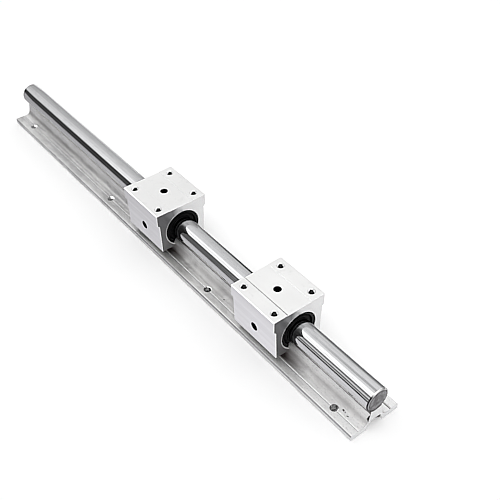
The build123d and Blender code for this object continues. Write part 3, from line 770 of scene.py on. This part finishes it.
# ------------------------------------------------------------------ shaft
def build_shaft():
    R = 10 * MM
    c = 0.9 * MM
    e = 0.12 * MM
    half = 250 * MM
    # end face, a soft break, the chamfer, a soft break, the cylinder
    end = [(0.0, 0.0), (0.0, 3 * MM), (0.0, 6 * MM), (0.0, R - c - e), (0.3 * e, R - c - 0.3 * e + 0.0),
           (e, R - c + 0.55 * e), (c - e, R - 1.3 * e), (c - 0.1 * e, R - 0.35 * e), (c + e, R)]
    prof = [(-half + x, r) for x, r in end]
    xs = []
    for hx in HOLE_X:
        xs += [hx - 5 * MM, hx + 5 * MM]
    xs += [-150 * MM, 0.0, 150 * MM]
    prof += [(x, R) for x in sorted(xs)]
    prof += [(half - x, r) for x, r in reversed(end)]
    o = lathe_x("shaft_ground", prof, 144, AXIS_Z, [MAT["ground_shaft"], MAT["shaft_end"], MAT["shaft_chamfer"]])
    cutters = []
    for hx in HOLE_X:
        z0 = AXIS_Z - R
        cutters.append(lathe_z("c", [(0, z0 - 1 * MM), (3 * MM, z0 - 1 * MM), (3 * MM, z0 + 9.5 * MM), (0, z0 + 9.5 * MM)],
                               32, hx, 0))
    cut(o, cutters)
    for p in o.data.polygons:
        nx = abs(p.normal.x)
        p.material_index = 1 if nx > 0.93 else 2 if nx > 0.3 else 0
    smooth(o, 25)
    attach(o, "rail")
    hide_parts("shaft")
    return o


# ---------------------------------------------------------------- support
def support_points():
    """Outline of the extrusion as (y, z, corner radius), in millimetres."""
    r = 10.02
    seat_half, neck_low, neck_top = 4.8, 7.0, 5.3
    seat_z = 27 - math.sqrt(r * r - seat_half ** 2)
    neck_top_z = seat_z - (neck_top - seat_half) * 1.2
    lean = math.atan2(neck_low - neck_top, neck_top_z - (5 + 3.2))
    right = [(8, 0, 0.25), (22.2, 0, 0), (22.5, 0.3, 0), (22.5, 4.4, 0.5), (21.9, 5, 0.5),
             (15.45, 5, 0.15), (15, 4.55, 0.05), (14.55, 5, 0.15)]
    right += [(y, z, 0) for y, z in arc(neck_low + 4.0 * 0.95, 9.0, 4.0, 270.0, 180.0 + math.degrees(lean), 14)]
    right += [(neck_top, neck_top_z, 0.3), (seat_half, seat_z, 0.2)]
    a = math.degrees(math.asin(seat_half / r))
    seat = [(y, z, 0) for y, z in arc(0, 27, r, 270 + a, 270 - a, 20)][1:-1]
    left = [(-y, z, rr) for y, z, rr in reversed(right)]
    channel = [(-5.4, 6.8, 0.3), (-5.1, 7.6, 0.3), (5.1, 7.6, 0.3), (5.4, 6.8, 0.3)]
    return right + seat + left + channel


def blade(outer, inner):
    """Small wedge cutter between two quads, corners in millimetres."""
    bm = bmesh.new()
    a = [bm.verts.new([c * MM for c in p]) for p in outer]
    b = [bm.verts.new([c * MM for c in p]) for p in inner]
    bm.faces.new(a)
    bm.faces.new(b[::-1])
    for k in range(4):
        bm.faces.new((a[k], b[k], b[(k + 1) % 4], a[(k + 1) % 4]))
    bmesh.ops.recalc_face_normals(bm, faces=bm.faces)
    return make_object("c", bm, [])


def dent(x, y, long, wide, deep, seed):
    """Small irregular hollow in the top of the flange, in millimetres."""
    bm = bmesh.new()
    bmesh.ops.create_icosphere(bm, subdivisions=3, radius=1.0)
    rng = random.Random(seed)
    waves = [(Vector((rng.uniform(-1, 1), rng.uniform(-1, 1), rng.uniform(-1, 1))) * 3.2, rng.uniform(0, 6.28)) for _ in range(5)]
    turn = rng.uniform(-0.5, 0.5)
    for v in bm.verts:
        k = 1 + 0.13 * sum(math.sin(v.co.dot(w) + a) for w, a in waves)
        px, py, pz = v.co.x * k * long, v.co.y * k * wide, v.co.z * k * deep
        v.co = Vector((x + px * math.cos(turn) - py * math.sin(turn), y + px * math.sin(turn) + py * math.cos(turn), 5.0 + pz)) * MM
    return make_object("c", bm, [])


def in_blade(c, p):
    """True for the faces of the gouge, which are the small ones there."""
    return p.area < 30e-6 and max(abs(c.x - 248.9 * MM), 0) < 1.1 * MM


def build_support():
    pts = support_points()
    poly = [(y * MM, z * MM) for y, z, _ in pts]
    radii = [rr * MM for _, _, rr in pts]
    half = 250 * MM
    xs = []
    for hx in HOLE_X:
        xs += [hx - 6 * MM, hx + 6 * MM]
    o = extrude_x("shaft_support_extrusion", poly, radii, -half, half, sorted(xs), 0.12 * MM,
                  [MAT["support_extrusion"], MAT["support_end"], MAT["drilled"], MAT["grime"], MAT["scuff"]])
    cutters = []
    for hx in HOLE_X:
        for s in (-1, 1):
            r, f, g = 2.75 * MM, 0.28 * MM, 0.52 * MM
            cutters.append(lathe_z("c", [(0, -1 * MM), (r + f + 1 * MM, -1 * MM), (r + f, 0.0), (r, f), (r, 5 * MM - g),
                                         (r + g, 5 * MM), (r + g + 1 * MM, 6 * MM), (0, 6 * MM)], 48, hx, s * 15 * MM))
        r = 3.3 * MM
        cutters.append(lathe_z("c", [(0, 7 * MM), (r, 7 * MM), (r, 18 * MM), (0, 18 * MM)], 40, hx, 0))
    # damage: a gouge at the end of the neck and two small dents in the flange
    cutters.append(blade([(247.9, -7.6, 9.4), (249.7, -7.6, 9.9), (249.95, -7.6, 14.6), (249.1, -7.6, 14.2)],
                         [(248.3, -5.35, 9.9), (249.2, -5.35, 10.2), (249.5, -5.25, 13.9), (249.2, -5.25, 13.6)]))
    cutters.append(dent(230.5, -11.2, 1.0, 0.6, 0.45, 11))
    cutters.append(dent(232.6, -11.5, 0.5, 0.35, 0.3, 12))
    cutters.append(dent(236.1, -12.6, 0.9, 0.5, 0.4, 13))
    cutters.append(dent(92.6, -11.8, 0.8, 0.45, 0.35, 14))
    cut(o, cutters, 1e-7)
    for p in o.data.polygons:
        c = p.center
        p.material_index = 1 if abs(p.normal.x) > 0.3 and abs(abs(c.x) - half) < 0.2 * MM else 0
        if 247.5 * MM < c.x < 249.97 * MM and c.y < -5.1 * MM and 9.3 * MM < c.z < 14.7 * MM and abs(p.normal.x) < 0.999:
            if in_blade(c, p):
                p.material_index = 3
        if p.area < 0.4e-6 and 4.3 * MM < c.z < 5.6 * MM and -13.6 * MM < c.y < -8 * MM \
                and (229 * MM < c.x < 238 * MM or 91 * MM < c.x < 94 * MM) and (c.z < 4.999 * MM or c.y > -10.9 * MM):
            p.material_index = 4
        for hx in HOLE_X:
            for yy, rad in ((-15 * MM, 3.2 * MM), (15 * MM, 3.2 * MM), (0, 3.35 * MM)):
                if math.hypot(c.x - hx, c.y - yy) < rad and abs(p.normal.z) < 0.9:
                    p.material_index = 2
    smooth(o, 25)
    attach(o, "rail")
    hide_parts("shaft_support")
    return o


# ---------------------------------------------------------------- housings
def housing_points():
    """Outline of the block as (y, z, corner radius), in millimetres."""
    r, jaw = 16.0, 8.5
    tip_z = 27 - math.sqrt(r * r - jaw * jaw)
    right = [(11, 11, 0.25), (21.1, 11, 0), (21.5, 11.4, 0.3), (22.2, 37.9, 0.3), (24, 39.7, 0.3), (24, 49.5, 0.2),
             (23.5, 50, 0.2), (11.5, 50, 0.05), (11.15, 49.65, 0.05)]
    left = [(-y, z, rr) for y, z, rr in reversed(right)]
    a = math.degrees(math.atan2(tip_z - 27, jaw))
    bore = [(y, z, 0) for y, z in arc(0, 27, r, 180 - a, a, 84)]
    return (right + left + [(-jaw, tip_z - 0.7, 0.15)] + bore + [(jaw, tip_z - 0.7, 0.15)])


def thread_cutter(x, y, top, depth, segs=36, per_pitch=8):
    """Tapped hole as a solid: mouth cone, M6 thread, drill point."""
    minor, major, pitch = 2.5, 3.0, 1.0
    bm = bmesh.new()
    zs = [top + 1.0, top, top - 0.3, top - 0.6]
    n = int((depth - 1.2 - 0.6) * per_pitch / pitch)
    zs += [top - 0.6 - (k + 1) * pitch / per_pitch for k in range(n)]
    end = zs[-1]
    rings = []
    for z in zs:
        ring = []
        for k in range(segs):
            t = k / segs
            ph = ((top - z) / pitch + t) % 1.0
            tri = 1 - abs(2 * ph - 1)                       # 0 .. 1 .. 0
            groove = max(0.0, min(1.0, (tri - 0.12) / 0.76))
            fade = min(1.0, max(0.0, (z - end) / 1.2)) if z > end else 0.0
            rad = max(minor + (major - minor) * groove * fade, 3.12 - (top - z)) if z < top else 3.12 + (z - top)
            a = 2 * math.pi * t
            ring.append(bm.verts.new(((x + rad * math.cos(a)) * MM, (y + rad * math.sin(a)) * MM, z * MM)))
        rings.append(ring)
    low = bm.verts.new((x * MM, y * MM, (end - 1.5) * MM))
    up = bm.verts.new((x * MM, y * MM, (top + 1.0) * MM))
    for a, b in zip(rings, rings[1:]):
        for k in range(segs):
            k2 = (k + 1) % segs
            bm.faces.new((a[k], b[k], b[k2], a[k2]))
    for k in range(segs):
        k2 = (k + 1) % segs
        bm.faces.new((rings[0][k2], up, rings[0][k]))
        bm.faces.new((rings[-1][k], low, rings[-1][k2]))
    bmesh.ops.recalc_face_normals(bm, faces=bm.faces)
    return make_object("c", bm, [])


def build_housing(name, xc, body, node, lined):
    pts = housing_points()
    poly = [(y * MM, z * MM) for y, z, _ in pts]
    radii = [rr * MM for _, _, rr in pts]
    half = 25 * MM
    o = extrude_x(name, poly, radii, xc - half, xc + half, [xc - 12 * MM, xc, xc + 12 * MM], 0.42 * MM,
                  [MAT["block_aluminium"], MAT["block_end"], MAT["tapped"], MAT["greasy_hole"], MAT["bright_edge"], MAT["dull_edge"],
                   MAT["tap_mouth"], MAT["bore_wall"], MAT["under_edge"], MAT["lit_edge"], MAT["lid_edge"], MAT["even_edge"]])
    cx = xc / MM
    cutters = [thread_cutter(cx + sx * 17.5, sy * 17.5, 50.0, 13.0) for sx in (-1, 1) for sy in (-1, 1)]
    # lubrication hole and set screw hole
    r = 2.75 * MM
    f = 49.65 * MM
    cutters.append(lathe_z("c", [(0, 42 * MM), (r, 42 * MM), (r, f - 0.45 * MM), (r + 0.45 * MM, f), (r + 1.45 * MM, f + 1 * MM),
                                 (0, f + 1 * MM)], 48, xc, 0))
    r = 3.1 * MM
    side = lathe_z("c", [(0, 11 * MM), (r, 11 * MM), (r, 21.4 * MM), (r + 0.47 * MM, 21.87 * MM), (r + 1.45 * MM, 22.85 * MM),
                         (0, 22.85 * MM)], 48, 0, 0)
    side.data.transform(Matrix.Translation((xc, 0, 24.5 * MM)) @ Matrix.Rotation(math.radians(90), 4, "X"))
    cutters.append(side)
    for s in (-1, 1):
        a, b = xc + s * 22.8 * MM, xc + s * 24.2 * MM
        a, b = min(a, b), max(a, b)
        cutters.append(lathe_x("c", [(a, 0), (a, 16.8 * MM), (b, 16.8 * MM), (b, 0)], 96, AXIS_Z, []))
    cut(o, cutters)
    for p in o.data.polygons:
        c = p.center
        d = math.hypot(c.y, c.z - AXIS_Z)
        nx = abs(p.normal.x)
        p.material_index = 0
        if nx > 0.3 and abs(abs(c.x - xc) - half) < 0.5 * MM:
            p.material_index = 1 if nx > 0.97 else 4
        # painted shade: the bore's wall near black
        elif d < 16.85 * MM:
            p.material_index = 7
        # painted shade: the underside near black
        elif c.z < 11.3 * MM:
            p.material_index = 8
        # painted highlight: the -Y top edge glows
        elif c.y < -23.35 * MM and c.z > 49.35 * MM and 0.15 < p.normal.z < 0.99:
            p.material_index = 9
        # recess walls: faint glow on the rear block; on the front one painted shade on the -Y wall and a glowing
        # painted highlight on the +Y wall
        elif 11.1 * MM < abs(c.y) < 11.6 * MM and c.z > 49.5 * MM and abs(p.normal.z) < 0.99:
            p.material_index = 11 if not lined else 5 if c.y < 0 else 10
        for sx in (-1, 1):
            for sy in (-1, 1):
                if math.hypot(c.x - xc - sx * 17.5 * MM, c.y - sy * 17.5 * MM) < 3.2 * MM and 30 * MM < c.z < 49.999 * MM:
                    p.material_index = 2 if c.z < 49.35 * MM else 6
        # painted shade: near-black walls in the lubrication hole and the set screw hole
        if math.hypot(c.x - xc, c.y) < 3.3 * MM and 42 * MM < c.z < 49.649 * MM:
            p.material_index = 3
        if math.hypot(c.x - xc, c.z - 24.5 * MM) < 3.65 * MM and -21.86 * MM < c.y < -15 * MM and abs(p.normal.y) < 0.9:
            p.material_index = 3
    smooth(o, 28)
    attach(o, body)
    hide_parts(node)
    return o


build_shaft()
build_support()
build_housing("rear_block_body", REAR_X, "rear_block", "rear_block_housing", False)
build_housing("front_block_body", FRONT_X, "front_block", "front_block_housing", True)

# finishes of the nodes that keep their own mesh
slot_of = {s["node"]: s["material_slot"] for s in frame["record"]["subparts"]}
for name, o in nodes.items():
    key = slot_of.get(name)
    if key in MAT:
        for s in o.material_slots:
            s.material = MAT[key]


# ----------------------------------------------------------------- studio
def build_floor():
    bm = bmesh.new()
    bmesh.ops.create_circle(bm, cap_ends=True, segments=96, radius=14.0)
    o = make_object("studio_floor", bm, [])
    m, nt, b = new_material("floor_paper")
    co = obj_coord(nt)
    g = noise(nt, co, (900, 900, 900), 3.0, 0.5)
    put(nt, b.inputs["Base Color"], mix_rgb(nt, mapped(nt, g, 0.3, 0.7, 0.0, 1.0), (0.90, 0.90, 0.90, 1), (0.92, 0.92, 0.92, 1)))
    b.inputs["Roughness"].default_value = 0.9
    b.inputs["Specular IOR Level"].default_value = 0.1
    b.inputs["Emission Color"].default_value = (1.0, 1.0, 1.0, 1)
    b.inputs["Emission Strength"].default_value = 0.16
    o.data.materials.append(m)
    o.location.z = -0.0004
    # painted shade: a dark, faintly glowing sheet under the base stands in for the shade below it, seen down the bolt
    # holes and into the channel
    bm = bmesh.new()
    bm.faces.new([bm.verts.new(c) for c in ((-0.248, -0.0215, -0.0002), (0.2425, -0.0215, -0.0002), (0.2425, -0.009, -0.0002),
                                            (0.2478, 0.009, -0.0002), (0.2478, 0.0215, -0.0002), (-0.248, 0.0215, -0.0002))])
    m, nt, b = new_material("under_sheet")
    co = obj_coord(nt)
    x, y, z = split(nt, co)
    g = noise(nt, co, (700, 700, 700), 3.0, 0.6)
    holes = M(nt, "MULTIPLY", mapped(nt, M(nt, "ABSOLUTE", y), 9.5 * MM, 10 * MM, 0.0, 1.0), mapped(nt, x, 0.10, 0.16, 0.45, 1.0))
    spots = mix_rgb(nt, mapped(nt, g, 0.38, 0.62, 0.0, 1.0), (0.04, 0.04, 0.04, 1), (0.24, 0.24, 0.24, 1))
    col = mix_rgb(nt, holes, (0.012, 0.012, 0.012, 1), spots)
    put(nt, b.inputs["Base Color"], col)
    put(nt, b.inputs["Emission Color"], col)
    b.inputs["Emission Strength"].default_value = 0.6
    b.inputs["Roughness"].default_value = 0.8
    b.inputs["Specular IOR Level"].default_value = 0.1
    u = make_object("under_sheet", bm, [m])
    return o


def build_world():
    """A soft studio: a long overhead softbox to one side of the rail that
    fades towards its far end, pale walls and a darker band low on the near
    side. Rays that leave the floor's edge see plain white."""
    w = bpy.data.worlds.new("studio")
    scene.world = w
    w.use_nodes = True
    nt = w.node_tree
    nt.nodes.clear()
    out = nt.nodes.new("ShaderNodeOutputWorld")
    bg = nt.nodes.new("ShaderNodeBackground")
    nt.links.new(bg.outputs[0], out.inputs[0])
    tc = nt.nodes.new("ShaderNodeTexCoord")
    dx, dy, dz = split(nt, tc.outputs["Generated"])
    ang = M(nt, "ARCTAN2", M(nt, "MULTIPLY", dy, -1.0), dz)      # 0 up, + towards -Y
    t = M(nt, "ADD", M(nt, "MULTIPLY", ang, 1 / (2 * math.pi)), 0.5)

    def at(deg):
        return deg / 360 + 0.5

    walls = ramp(nt, t, [
        (at(-180), 0.8), (at(-104), 0.8), (at(-96), 0.40), (at(-88), 0.45), (at(-82), 0.72), (at(-60), 0.80), (at(-40), 0.88),
        (at(-20), 0.98), (at(0), 1.10), (at(14), 1.22), (at(44), 1.2), (at(48), 0.8), (at(51), 0.16), (at(60), 0.11),
        (at(88), 0.13), (at(96), 0.35), (at(104), 0.8), (at(180), 0.8)])
    box = ramp(nt, t, [(0.0, 0.0), (at(11), 0.0), (at(15), 1.0), (at(27), 1.0), (at(30), 0.15), (at(33), 0.15), (at(36), 1.0),
                       (at(44.5), 1.0), (at(48), 0.0), (1.0, 0.0)])
    # the softbox is dimmer towards -X
    fade = ramp(nt, mapped(nt, dx, -1.0, 0.0, 0.0, 1.0), [(0.0, 0.0), (0.20, 0.0), (0.26, 0.22), (0.31, 0.55), (0.37, 1.0), (1.0, 1.0)])
    lamp = M(nt, "MULTIPLY", M(nt, "MULTIPLY", box, fade), 0.50)
    # and so are the walls, a little
    dim = ramp(nt, mapped(nt, dx, -1.0, 0.0, 0.0, 1.0), [(0.0, 0.74), (0.18, 0.74), (0.25, 0.89), (0.33, 0.98), (0.40, 1.0), (1.0, 1.0)])
    light = M(nt, "ADD", M(nt, "MULTIPLY", walls, dim), lamp)
    # a dim strip overhead and a brighter one beyond it, at the near end only
    near = mapped(nt, dx, -0.50, -0.42, 0.0, 1.0)
    strip = ramp(nt, t, [(0.0, 0.0), (at(-75), 0.0), (at(-60), 0.5), (at(-45), 0.5), (at(-30), 0.35), (at(-20), -0.0), (1.0, 0.0)])
    dip = ramp(nt, t, [(0.0, 0.0), (at(-26), 0.0), (at(-18), 1.0), (at(-9), 1.0), (at(-2), 0.0), (1.0, 0.0)])
    light = M(nt, "ADD", light, M(nt, "MULTIPLY", M(nt, "MULTIPLY", strip, near), 0.45))
    light = M(nt, "SUBTRACT", light, M(nt, "MULTIPLY", M(nt, "MULTIPLY", dip, near), 0.34))
    # what the camera sees past the floor is plain white
    path = nt.nodes.new("ShaderNodeLightPath")
    put(nt, bg.inputs[0], mix_rgb(nt, path.outputs["Is Camera Ray"], light, (1.0, 1.0, 1.0, 1)))
    bg.inputs[1].default_value = 1.0


def card(name, corners, level_of):
    """Emissive card that only glossy reflections see."""
    bm = bmesh.new()
    bm.faces.new([bm.verts.new(c) for c in corners])
    o = make_object(name, bm, [])
    m, nt, b = new_material(name)
    nt.nodes.remove(b)
    out = [n for n in nt.nodes if n.bl_idname == "ShaderNodeOutputMaterial"][0]
    em = nt.nodes.new("ShaderNodeEmission")
    x, y, z = split(nt, obj_coord(nt))
    put(nt, em.inputs[0], level_of(nt, x, y, z))
    em.inputs[1].default_value = 1.0
    nt.links.new(em.outputs[0], out.inputs[0])
    o.data.materials.append(m)
    o.visible_camera = False
    o.visible_diffuse = False
    o.visible_shadow = False
    o.visible_transmission = False
    o.visible_volume_scatter = False
    return o


def build_cards():
    """What the polished shaft mirrors: a dark card low along the near side,
    with pale edges in it, grey paper on the floor below it, and a dark card low
    on the far side."""
    def near(nt, x, y, z):
        level = ramp(nt, mapped(nt, x, -0.8, 0.3, 0.0, 1.0),
                     [(0.0, 0.085), (0.3, 0.085), (0.45, 0.075), (0.6, 0.14), (0.65, 0.19), (0.8, 0.22), (1.0, 0.25)])
        wob = N(nt, "TexNoise", named={"Vector": N(nt, "CombineXYZ", M(nt, "MULTIPLY", x, 14.0), 0.0, M(nt, "MULTIPLY", z, 30.0)),
                                       "Scale": 1.0, "Detail": 2.0, "Roughness": 0.5})
        h = M(nt, "ADD", z, mapped(nt, wob, 0.3, 0.7, -0.006, 0.006))
        k = 1 / 0.165
        stripes = ramp(nt, M(nt, "MULTIPLY", h, k), [
            (0.0, 0.03), (0.026 * k, 0.03), (0.034 * k, 0.62), (0.056 * k, 0.66), (0.066 * k, 0.26), (0.092 * k, 0.26),
            (0.100 * k, 0.90), (0.128 * k, 0.92), (0.138 * k, 0.42), (0.160 * k, 0.42), (1.0, 0.8)])
        return mix_rgb(nt, mapped(nt, x, -0.06, 0.10, 0.0, 1.0), level, stripes)

    def paper(nt, x, y, z):
        v = ramp(nt, mapped(nt, y, -0.19, -0.024, 0.0, 1.0),
                 [(0.0, (0.60, 0.592, 0.61)), (0.34, (0.68, 0.672, 0.69)), (0.8, (0.82, 0.812, 0.83)),
                  (1.0, (0.78, 0.772, 0.79))])
        k = ramp(nt, mapped(nt, x, -0.6, 0.2, 0.0, 1.0), [(0.0, 0.62), (0.35, 0.66), (0.75, 0.95), (0.9, 1.12), (1.0, 1.2)])
        return mix_rgb(nt, 1.0, v, k, "MULTIPLY")

    def far(nt, x, y, z):
        return mapped(nt, x, -0.12, 0.0, 0.60, 0.09)

    def far_end(nt, x, y, z):
        k = 1 / 0.14
        rise = ramp(nt, M(nt, "MULTIPLY", z, k), [(0.0, 0.17), (0.02 * k, 0.21), (0.051 * k, 0.45), (0.084 * k, 0.72), (0.121 * k, 0.95), (1.0, 0.95)])
        edge = ramp(nt, M(nt, "MULTIPLY", z, k), [(0.0, 0.09), (0.052 * k, 0.09), (0.060 * k, 0.74), (1.0, 0.82)])
        return mix_rgb(nt, mapped(nt, x, 0.0, 0.03, 0.0, 1.0), edge, rise)

    def far_floor(nt, x, y, z):
        return ramp(nt, mapped(nt, x, -0.25, 0.25, 0.0, 1.0), [(0.0, 0.5), (0.15, 0.5), (0.35, 0.03), (0.52, 0.03), (0.70, 0.36), (1.0, 0.36)])

    y0, y1 = -0.19, 0.15
    card("card_near", ((-0.95, y0, 0.0004), (0.45, y0, 0.0004), (0.45, y0, 0.165), (-0.95, y0, 0.165)), near)
    card("card_paper", ((-0.95, y0, 0.0003), (0.45, y0, 0.0003), (0.45, -0.0232, 0.0003), (-0.95, -0.0232, 0.0003)), paper)
    card("card_paper_end", ((-0.95, -0.0232, 0.0003), (-0.2506, -0.0232, 0.0003), (-0.2506, 0.03, 0.0003), (-0.95, 0.03, 0.0003)), paper)
    card("card_far", ((-0.20, y1, 0.0), (0.0, y1, 0.0), (0.0, y1, 0.055), (-0.20, y1, 0.055)), far)
    card("card_far_end", ((0.0, y1, 0.0), (0.45, y1, 0.0), (0.45, y1, 0.14), (0.0, y1, 0.14)), far_end)
    card("card_far_paper", ((-0.25, 0.075, 0.0003), (0.45, 0.075, 0.0003), (0.45, y1, 0.0003), (-0.25, y1, 0.0003)), far_floor)


def build_finish():
    """Light sharpening of the finished picture, like the photo's own."""
    scene.use_nodes = True
    nt = scene.node_tree
    nt.nodes.clear()
    src = nt.nodes.new("CompositorNodeRLayers")
    up = nt.nodes.new("CompositorNodeGamma")
    up.inputs[1].default_value = 1 / 2.2
    crisp = nt.nodes.new("CompositorNodeFilter")
    crisp.filter_type = "SHARPEN"
    crisp.inputs[0].default_value = 0.14
    down = nt.nodes.new("CompositorNodeGamma")
    down.inputs[1].default_value = 2.2
    out = nt.nodes.new("CompositorNodeComposite")
    nt.links.new(src.outputs["Image"], up.inputs[0])
    nt.links.new(up.outputs[0], crisp.inputs[1])
    nt.links.new(crisp.outputs[0], down.inputs[0])
    nt.links.new(down.outputs[0], out.inputs[0])


def build_camera():
    cam = bpy.data.cameras.new("camera")
    cam.sensor_width = 36.0
    cam.lens = 59.1256
    cam.clip_start, cam.clip_end = 0.01, 50.0
    o = bpy.data.objects.new("camera", cam)
    scene.collection.objects.link(o)
    rot = Matrix(((0.61920876, -0.52424752, 0.58458964),
                  (0.78518099, 0.42139112, -0.45378446),
                  (-0.00844551, 0.73999598, 0.67255826)))
    o.matrix_world = Matrix.Translation((0.46600831, -0.27486547, 0.47279458)) @ rot.to_4x4()
    scene.camera = o


build_floor()
build_world()
build_cards()
build_camera()
build_finish()
scene.view_settings.view_transform = "Standard"
scene.view_settings.look = "None"
scene.view_settings.exposure = 0.0
scene.cycles.use_denoising = True
